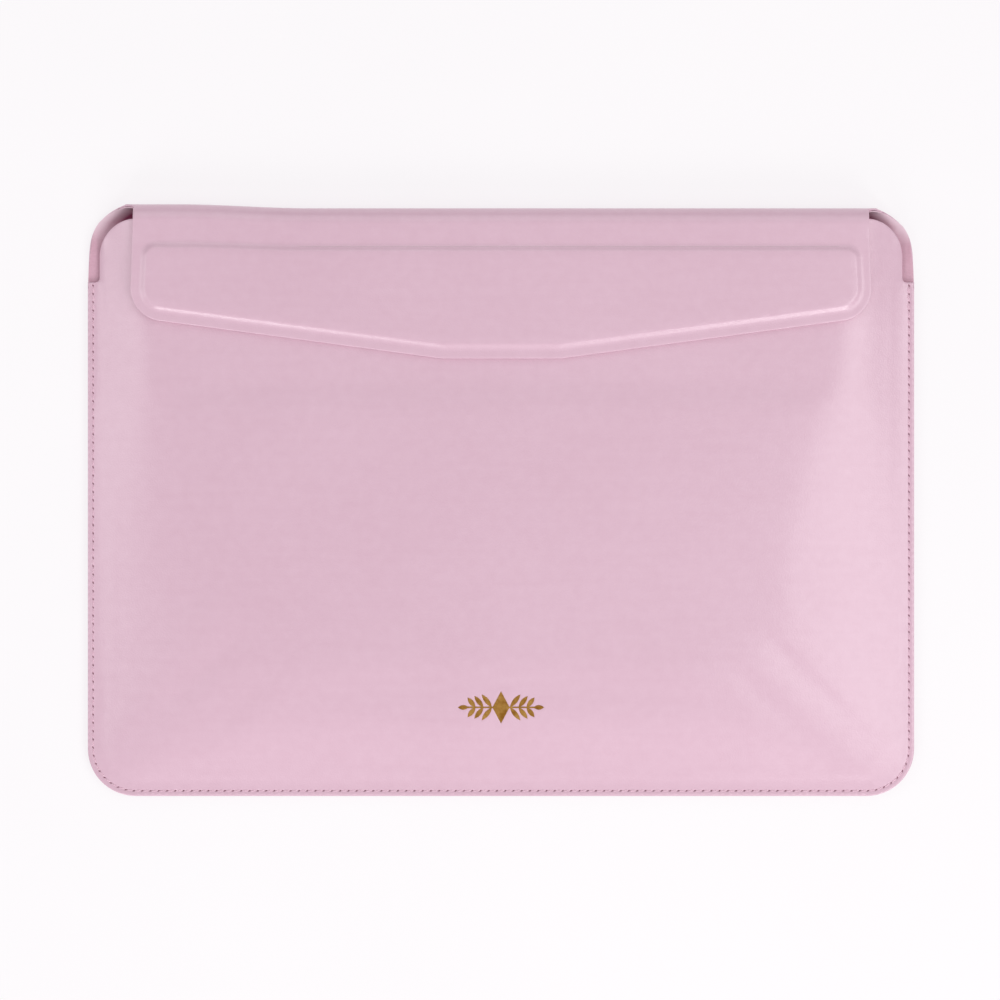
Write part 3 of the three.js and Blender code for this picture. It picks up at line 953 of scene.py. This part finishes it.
def across_pillow(flat):
    """How far across the pillow's slope each point is: 0 at the seam margin, 1 on the level."""
    x, y = np.abs(flat[:, 0]), flat[:, 1]
    low, high = np.zeros(len(x)), np.ones(len(x))
    for _ in range(22):
        t = (low + high) / 2
        foot = FOOT_Y + MARGIN + (CROWN_FOOT - MARGIN) * t
        foot_x = HALF_W - MARGIN - (CROWN_SIDE - MARGIN) * t
        mouth_x = HALF_W - MARGIN - (CROWN_MOUTH - MARGIN) * t
        run, climb = mouth_x - foot_x, PILLOW_TOP_Y - foot
        length = np.hypot(run, climb)
        from_side = -((x - foot_x) * climb - (y - foot) * run) / length
        from_foot = y - foot
        radius = BOTTOM_R - MARGIN + CORNER_SPREAD * t
        from_x = x - foot_x - radius * (run - length) / climb
        from_y = from_foot - radius
        corner = (from_x > 0) & (from_x * run + from_y * climb < 0)
        reach = np.hypot(from_x, from_y)
        inside = (from_side >= 0) & (from_foot >= 0) & ~(corner & (reach > radius))
        low, high = np.where(inside, t, low), np.where(inside, high, t)
    return low


def lining_z(flat):
    """The height of the front lining's underside."""
    t = across_pillow(flat)
    return MARGIN_Z + FRONT_RISE * (1 - (1 - t) ** 3 * (1 + 3 * t)), t


def leather_shape(flat):
    """The height of the front leather's face over its plain pillow."""
    z, t = lining_z(flat)
    return z + SKIN + CORE * smooth(t / CORE_START / 1.15) + LEATHER


def leather_z(flat):
    """The height of the front leather's face, before its edges and seam are shaped."""
    return leather_shape(flat) + swell(flat)


FRONT_EDGE = rounded(front_outline_corners(), 1.4)


# The front's swell comes from a cloth simulation of a coarse net over its outline.
NET = 5
NET_X = np.arange(-HALF_W, HALF_W + NET / 2, NET)
NET_Y = np.arange(FOOT_Y, MOUTH_Y + NET, NET)
SWELL_CAP = 0.9
HELD_MARGIN = 7
HELD_FROM_Y = 38
HELD_OVER = 14
SWELL_FRAMES = 20


def simulated_swell():
    """How far each knot of the net rises when the padding presses on the leather from below."""
    knots = np.array([(x, y) for y in NET_Y for x in NET_X])
    columns = len(NET_X)
    faces = [
        (i, i + 1, i + columns + 1, i + columns)
        for row in range(len(NET_Y) - 1)
        for i in range(row * columns, row * columns + columns - 1)
    ]
    start = leather_shape(knots)
    net = mesh_from("swell_net", np.column_stack([knots, start]), faces)
    inside = within(knots, FRONT_EDGE)
    gap = distance_to(knots, FRONT_EDGE, closed=True)
    free = smooth((gap - HELD_MARGIN / 2) / HELD_MARGIN) * inside
    free = free * smooth((HELD_FROM_Y + HELD_OVER - knots[:, 1]) / HELD_OVER)
    held = net.vertex_groups.new(name="held")
    for i, share in enumerate(free):
        held.add([i], float(1 - share), "REPLACE")
    cloth = net.modifiers.new("cloth", "CLOTH").settings
    cloth.quality = 6
    cloth.mass = 0.25
    cloth.tension_stiffness = 20
    cloth.compression_stiffness = 20
    cloth.shear_stiffness = 8
    cloth.bending_stiffness = 0.6
    cloth.use_pressure = True
    cloth.uniform_pressure_force = 4
    cloth.effector_weights.gravity = 0
    cloth.vertex_group_mass = "held"
    scene = bpy.context.scene
    for moment in range(1, SWELL_FRAMES + 1):
        scene.frame_set(moment)
    swollen = net.evaluated_get(bpy.context.evaluated_depsgraph_get()).data
    rise = np.array([v.co.z for v in swollen.vertices]) / MM - start
    scene.frame_set(1)
    bpy.data.objects.remove(net, do_unlink=True)
    rise = SWELL_CAP * np.tanh(rise / SWELL_CAP)
    return (rise * free).reshape(len(NET_Y), columns)


def cubic_weights(t):
    """The four weights of a smooth curve through evenly spaced values, t of the way on."""
    return [
        (-t + 2 * t**2 - t**3) / 2,
        (2 - 5 * t**2 + 3 * t**3) / 2,
        (t + 4 * t**2 - 3 * t**3) / 2,
        (-(t**2) + t**3) / 2,
    ]


def swell(flat):
    """The front's rise over its plain pillow, from the net."""
    u = np.clip((flat[:, 0] - NET_X[0]) / NET, 0, len(NET_X) - 1.001)
    v = np.clip((flat[:, 1] - NET_Y[0]) / NET, 0, len(NET_Y) - 1.001)
    column, row = u.astype(int), v.astype(int)
    total = np.zeros(len(flat))
    for j, down in enumerate(cubic_weights(v - row)):
        for i, over in enumerate(cubic_weights(u - column)):
            r = np.clip(row + j - 1, 0, len(NET_Y) - 1)
            c = np.clip(column + i - 1, 0, len(NET_X) - 1)
            total += down * over * SWELL_NET[r, c]
    return total


def seam_line(inset, step=0.4):
    """The U-shaped line of the seam, down the left side, along the foot and up the right."""
    x, y, r = HALF_W - inset, FOOT_Y + inset, BOTTOM_R - inset
    top = SEAM_TOP_Y - 1.4
    return rounded([(-x, top, 0), (-x, y, r), (x, y, r), (x, top, 0)], step, closed=False)


def spaced(path, count):
    """Points at equal distances along a path."""
    steps = [0.0]
    for a, b in zip(path, path[1:]):
        steps.append(steps[-1] + (b - a).length)
    at = np.linspace(0, steps[-1], count)
    return [
        Vector((np.interp(v, steps, [p.x for p in path]), np.interp(v, steps, [p.y for p in path])))
        for v in at
    ]


SEAM = seam_line(STITCH_IN)
SEAM_LENGTH = sum((b - a).length for a, b in zip(SEAM, SEAM[1:]))
HOLES = spaced(SEAM, round(SEAM_LENGTH / PITCH) + 1)
SWELL_NET = simulated_swell()


HOLE_LONG = 0.74
HOLE_WIDE = 0.34
HOLE_SLANT = math.radians(22)
HOLE_DEPTH = 0.45
HOLE_SIDES = 10
HOLE_CLEAR = 2
MARK_FROM = 0.35
MARK_OVER = 0.9
MARGIN_FADE = 0.5
# Points inside the front's outline stand this far apart, and this clear of its edge and seam.
FRONT_STEP = 3
EDGE_CLEAR = 1.6
SEAM_CLEAR = 1.4
CHANNEL_STEP = 0.7


def hole_directions():
    """Each needle hole's long direction, slanted across the seam."""
    ways = []
    for i in range(len(HOLES)):
        way = (HOLES[min(i + 1, len(HOLES) - 1)] - HOLES[max(i - 1, 0)]).normalized()
        c, s = math.cos(HOLE_SLANT), math.sin(HOLE_SLANT)
        ways.append(Vector((way.x * c - way.y * s, way.x * s + way.y * c)))
    return ways


def from_hole(flat):
    """How far each point is from its nearest needle hole's middle, where the hole's rim is 1."""
    spots = np.array([tuple(v) for v in HOLES])
    ways = np.array([tuple(v) for v in hole_directions()])
    gaps = np.linalg.norm(np.asarray(flat)[:, None, :] - spots[None], axis=2)
    near = gaps.argmin(1)
    offset = np.asarray(flat) - spots[near]
    way = ways[near]
    long = (offset * way).sum(1) / HOLE_LONG
    wide = (way[:, 0] * offset[:, 1] - way[:, 1] * offset[:, 0]) / HOLE_WIDE
    return np.hypot(long, wide)


def hole_points():
    points = []
    for hole, way in zip(HOLES, hole_directions()):
        points.append(hole)
        side = Vector((-way.y, way.x))
        for share in (0.5, 1.0, 1.35):
            for k in range(HOLE_SIDES):
                a = 2 * math.pi * k / HOLE_SIDES
                reach = way * HOLE_LONG * math.cos(a) + side * HOLE_WIDE * math.sin(a)
                points.append(hole + reach * share)
    return points


def make_front():
    """The front's leather over its pillow, with a rounded edge, a pressed seam and needle holes."""
    points = []
    for d in EDGE_LINES + (0.8,):
        points += inset_path(FRONT_EDGE, d)
    for d in CHANNEL_LINES:
        path = seam_line(d, CHANNEL_STEP)
        reaches = from_hole([tuple(p) for p in path])
        points += [p for p, reach in zip(path, reaches) if reach > HOLE_CLEAR]
    points += hole_points()
    free = grid(HALF_W, FOOT_Y + 1, MOUTH_Y, FRONT_STEP)
    clear = distance_to(free, FRONT_EDGE, closed=True) > EDGE_CLEAR
    clear &= distance_to(free, SEAM) > SEAM_CLEAR
    near_foil = foil_gap(free) < FOIL_CLEAR
    points += [Vector(p) for p in free[clear & ~near_foil]]
    points += foil_points()
    flat, faces = triangles_over(FRONT_EDGE, points)
    d = distance_to(flat, FRONT_EDGE, closed=True)
    reach = from_hole(flat)
    groove = channel(distance_to(flat, SEAM) + STITCH_IN)
    face = leather_z(flat)
    top = face - groove - HOLE_DEPTH * (1 - smooth(reach)) - FOIL_PRESS * pressed(flat)
    outer = np.column_stack([flat, top - rounding(d)])
    inner = np.column_stack([flat, face - LEATHER + rounding(d)])
    skin = slab("front_leather", flat, faces, outer, inner)
    # How much painted shade each point gets in and round a needle hole.
    hole_shade = np.concatenate([1 - smooth((reach - MARK_FROM) / MARK_OVER), np.zeros(len(flat))])
    store(skin, "hole", hole_shade)
    seam_gap = distance_to(flat, SEAM)
    margin = np.where(d < STITCH_IN, 1 - smooth(1 - seam_gap / MARGIN_FADE), 0)
    margin = margin * smooth((SEAM_TOP_Y - flat[:, 1]) / SEAM_END_FADE)
    store(skin, "margin", np.concatenate([margin, np.zeros(len(flat))]))
    finish_piece(skin, sewn_leather, "sleeve_body", ("front_outer_leather",))


# ---------- The linings ----------
BACK_CORE_R = 24
CORE_PLAY = 0.4
CORE_STEP = 2.5
HEM_IN = 0.1
HEM_SHARE = 0.25
LINING_INSET = 0.25
LINING_STEP = 6
LINING_CLEAR = 1.5
LINING_LINES = (0.3, 1.2)


def hem(d):
    """How far each face of a lining falls back at its cut edge."""
    return HEM_SHARE * rounding(d - HEM_IN)


def lining_out(_x, _s, d):
    return LINING_N + hem(d)


def lining_in(_x, _s, d):
    return LINING_N + LINING - hem(d)


def make_front_lining():
    """The cloth under the front's foam."""
    edge = inset_path(FRONT_EDGE, LINING_INSET)
    free = grid(HALF_W, FOOT_Y + 1, MOUTH_Y, LINING_STEP)
    keep = within(free, edge) & (distance_to(free, edge, closed=True) > LINING_CLEAR)
    flat, faces = triangles_over(edge, [Vector(p) for p in free[keep]])
    under = lining_z(flat)[0]
    outer = np.column_stack([flat, under + LINING])
    inner = np.column_stack([flat, under])
    front = slab("front_lining_cloth", flat, faces, outer, inner)
    finish_piece(front, lining, "sleeve_body", ("front_lining",))


def back_core_line():
    """The line round the back's board and foam, where the lining steps up over them."""
    low, high = box("back_foam")
    left, right = low[0] - CORE_PLAY, high[0] + CORE_PLAY
    foot, top = along_of(low[1] - CORE_PLAY), along_of(high[1] + CORE_PLAY)
    corners = [(left, foot), (right, foot), (right, top), (left, top)]
    return rounded([(x, y, BACK_CORE_R) for x, y in corners])


def make_back_lining():
    """The back's lining over its board and foam, and the fold's lining in its three strips."""
    core_line = back_core_line()

    def core(x, s):
        flat = np.stack([x, s], 1)
        outside = np.where(within(flat, core_line), 0, distance_to(flat, core_line, closed=True))
        return CORE * smooth(1 - outside / CORE_STEP)

    points = edge_points(LINING_LINES, -2 * CROWN_Y, 0)
    points += inside_grid(HALF_W, along_of(FOOT_Y), 0, 3.5, 2)
    back, _ = sheet_piece(
        "back_lining_cloth",
        back_outline(),
        points,
        lambda x, s, d: lining_out(x, s, d) + core(x, s),
        lambda x, s, d: lining_in(x, s, d) + core(x, s),
        JOINTS[:1],
    )
    finish_piece(back, lining, "sleeve_body", ("back_lining",))
    strips = fold_strips("lining", lining, lining_out, lining_in)
    back_outline()


def make_flap_lining():
    points = edge_points(LINING_LINES, FOLD_LENGTH, FOLD_LENGTH + CROWN_Y)
    points += inside_grid(FLAP_HALF, FOLD_LENGTH, FOLD_LENGTH + CROWN_Y, LINING_STEP, 3)
    flap, _ = sheet_piece(
        "flap_lining_cloth", flap_outline(), points, lining_out, lining_in, JOINTS[3:]
    )
    finish_piece(flap, lining, "flap", ("flap_lining",))
    flap_outline()


# ---------- Stitches ----------
THREAD_R = 0.3
STITCH_RINGS = 8
STITCH_SIDES = 8
STITCH_ARCH = 0.42
STITCH_DIP = 0.34
STITCH_SLANT = 0.4
BACK_TACK = 3
TACK_ASIDE = 0.34


def stitch_rings(a, b, aside, face_z, up):
    """The rings of one stitch between two needle holes: middle, height and radius."""
    along = (b - a).normalized()
    left = Vector((-along.y, along.x))
    rings = []
    for k in range(STITCH_RINGS + 1):
        u = k / STITCH_RINGS
        arch = math.sin(math.pi * u) ** 0.6 if 0 < k < STITCH_RINGS else 0
        middle = a.lerp(b, 0.05 + 0.9 * u) + left * ((u - 0.5) * STITCH_SLANT + aside)
        z = face_z + up * (arch * STITCH_ARCH - STITCH_DIP)
        rings.append((middle, left, z, THREAD_R * (0.6 + 0.4 * arch)))
    return rings


def stitches(name, face_z, up, replaces):
    """A row of separate stitches, each one dipping into a needle hole at both of its ends."""
    points, faces = [], []
    pairs = list(zip(HOLES, HOLES[1:]))
    tacks = pairs[:BACK_TACK] + pairs[-BACK_TACK:]
    sides = STITCH_SIDES
    for a, b, aside in [(a, b, 0) for a, b in pairs] + [(a, b, TACK_ASIDE) for a, b in tacks]:
        base = len(points)
        for middle, left, z, r in stitch_rings(a, b, aside, face_z, up):
            for j in range(sides):
                angle = 2 * math.pi * j / sides
                spot = middle + left * r * math.cos(angle)
                points.append((spot.x, spot.y, z + r * 0.85 * math.sin(angle)))
        for k in range(STITCH_RINGS):
            one, two = base + k * sides, base + (k + 1) * sides
            for j in range(sides):
                m = (j + 1) % sides
                faces.append((one + j, one + m, two + m, two + j))
        last = base + STITCH_RINGS * sides
        faces.append(tuple(base + j for j in reversed(range(sides))))
        faces.append(tuple(last + j for j in range(sides)))
    finish_piece(mesh_from(name, points, faces, 80), thread, "sleeve_body", replaces)


def make_stitches():
    top = MARGIN_Z + SKIN + LEATHER - CHANNEL_DEPTH
    stitches("needle_stitches", top, 1, ("seam_needle_thread",))
    stitches("bobbin_stitches", CHANNEL_DEPTH + 0.2, -0.5, ("seam_bobbin_thread",))


# ---------- What the CAD keeps ----------
def dress_inner_parts():
    """The sealed inner parts keep their CAD shape and get their materials."""
    looks = {
        "board": board,
        "foam": foam,
        "keeper": steel,
        "magnet": nickel,
        "mouth_edge_strip": leather,
    }
    for name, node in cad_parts.items():
        for key, look in looks.items():
            if key in name:
                node.data.materials.clear()
                node.data.materials.append(look)


# ---------- Floor, light and camera ----------
VIEW_WIDTH = 0.4
CAMERA_Z = 1.6
CENTRE = Vector((-0.0004, 0.0002, 0))
SENSOR = 36


def area_light(name, place, size, power):
    """A round soft light that faces the sleeve."""
    data = bpy.data.lights.new(name, "AREA")
    data.shape = "DISK"
    data.size = size
    data.energy = power
    light = add(name, data)
    light.location = place
    light.rotation_euler = (-Vector(place)).to_track_quat("-Z", "Y").to_euler()


FLOOR_HALF = 8
FLOOR_Z = -0.0003
FLOOR_GLOW = 0.77
SKY = 0.5


def make_floor():
    """A pale light table, whose own glow keeps the shadows on it faint."""
    h = FLOOR_HALF
    corners = [(-h, -h, FLOOR_Z), (h, -h, FLOOR_Z), (h, h, FLOOR_Z), (-h, h, FLOOR_Z)]
    mesh = bpy.data.meshes.new("floor")
    mesh.from_pydata(corners, [], [(0, 1, 2, 3)])
    floor = add("floor", mesh)
    look = Look("pale_floor")
    cloud = look.ramp(look.noise(3, 5, 0.6), 0.3, 0.7)
    colour = look.mix(cloud, linear(122, 121, 122), linear(126, 125, 126))
    look.put(Base_Color=colour, Roughness=0.8, Emission_Color=linear(253, 250, 252))
    look.put(Emission_Strength=FLOOR_GLOW)
    mesh.materials.append(look.material)


def make_studio():
    make_floor()
    world = bpy.data.worlds.new("studio")
    world.use_nodes = True
    sky = world.node_tree.nodes["Background"].inputs
    sky["Color"].default_value = (1, 0.995, 1, 1)
    sky["Strength"].default_value = SKY
    bpy.context.scene.world = world
    area_light("foot_left_light", (-0.5, -1.25, 0.65), 0.55, 4.8)
    area_light("foot_right_light", (0.6, -1.1, 0.85), 0.55, 5.2)
    area_light("right_light", (0.85, -0.15, 1.15), 1.05, 5.6)
    area_light("crown_light", (0.0, 1.1, 0.9), 1.0, 2)
    area_light("left_light", (-1.1, 0.0, 0.8), 0.8, 2.4)

    camera_data = bpy.data.cameras.new("camera")
    camera_data.sensor_width = SENSOR
    camera_data.lens = SENSOR * CAMERA_Z / VIEW_WIDTH
    camera_data.clip_end = 20
    camera = add("camera", camera_data)
    camera.location = CENTRE + Vector((0, 0, CAMERA_Z))
    bpy.context.scene.camera = camera
    bpy.context.scene.view_settings.view_transform = "Standard"


make_studio()
make_back(fold_strips("leather", leather, leather_out, leather_in))
make_flap()
make_front()
make_front_lining()
make_back_lining()
make_flap_lining()
make_stitches()
make_ornament()
dress_inner_parts()
